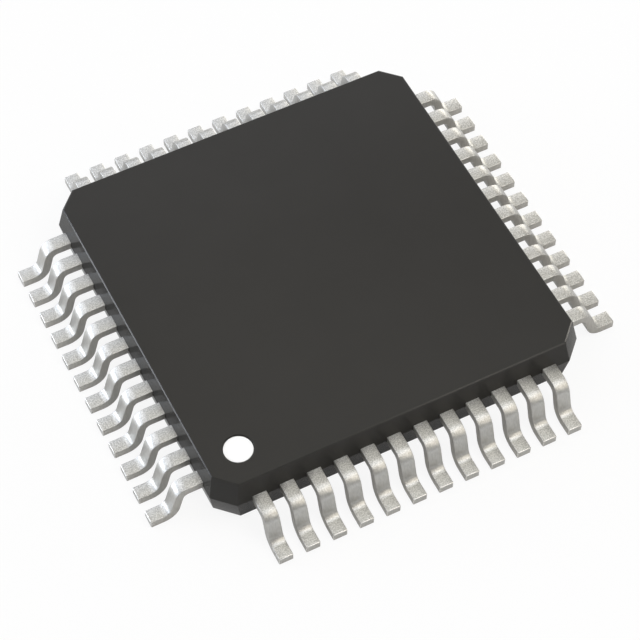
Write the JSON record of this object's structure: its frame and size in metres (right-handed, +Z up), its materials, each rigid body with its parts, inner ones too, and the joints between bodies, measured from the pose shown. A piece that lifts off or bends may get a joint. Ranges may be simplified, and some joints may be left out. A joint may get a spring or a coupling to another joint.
{
  "type": "quad flat pack chip",
  "caption": "Thin square moulded chip package with bevelled corners, gull-wing leads along all sides and a round pin-one dot, for soldering flat onto a circuit board.",
  "frame": {"origin": "centre of the seating plane, level with the undersides of all the feet", "axes": "+Z up out of the top face, -Y the front side, which has the pin-one dot at its left end, +X to the right"},
  "size_m": [0.009, 0.009, 0.0011],
  "materials": {
    "tin_plate": "matte tin plate over copper",
    "mould_compound": "fine matte as moulded, filled epoxy",
    "white_ink": "matte printed ink",
    "lead_frame_copper": "rolled copper alloy",
    "die_attach_adhesive": "cured silver-filled adhesive",
    "silicon": "polished silicon",
    "gold_wire": "drawn gold wire"
  },
  "bodies": {
    "root": {"lead_01": "tin_plate", "lead_02": "tin_plate", "lead_03": "tin_plate", "lead_04": "tin_plate", "lead_05": "tin_plate", "lead_06": "tin_plate", "lead_07": "tin_plate", "lead_08": "tin_plate", "lead_09": "tin_plate", "lead_10": "tin_plate", "lead_11": "tin_plate", "lead_12": "tin_plate", "lead_13": "tin_plate", "lead_14": "tin_plate", "lead_15": "tin_plate", "lead_16": "tin_plate", "lead_17": "tin_plate", "lead_18": "tin_plate", "lead_19": "tin_plate", "lead_20": "tin_plate", "lead_21": "tin_plate", "lead_22": "tin_plate", "lead_23": "tin_plate", "lead_24": "tin_plate", "lead_25": "tin_plate", "lead_26": "tin_plate", "lead_27": "tin_plate", "lead_28": "tin_plate", "lead_29": "tin_plate", "lead_30": "tin_plate", "lead_31": "tin_plate", "lead_32": "tin_plate", "lead_33": "tin_plate", "lead_34": "tin_plate", "lead_35": "tin_plate", "lead_36": "tin_plate", "lead_37": "tin_plate", "lead_38": "tin_plate", "lead_39": "tin_plate", "lead_40": "tin_plate", "lead_41": "tin_plate", "lead_42": "tin_plate", "lead_43": "tin_plate", "lead_44": "tin_plate", "lead_45": "tin_plate", "lead_46": "tin_plate", "lead_47": "tin_plate", "lead_48": "tin_plate", "mould_body": "mould_compound", "pin_one_mark": "white_ink", "die_pad": "lead_frame_copper", "die_attach": "die_attach_adhesive", "die": "silicon", "bond_wires_front": "gold_wire", "bond_wires_right": "gold_wire", "bond_wires_back": "gold_wire", "bond_wires_left": "gold_wire"}
  },
  "joints": []
}
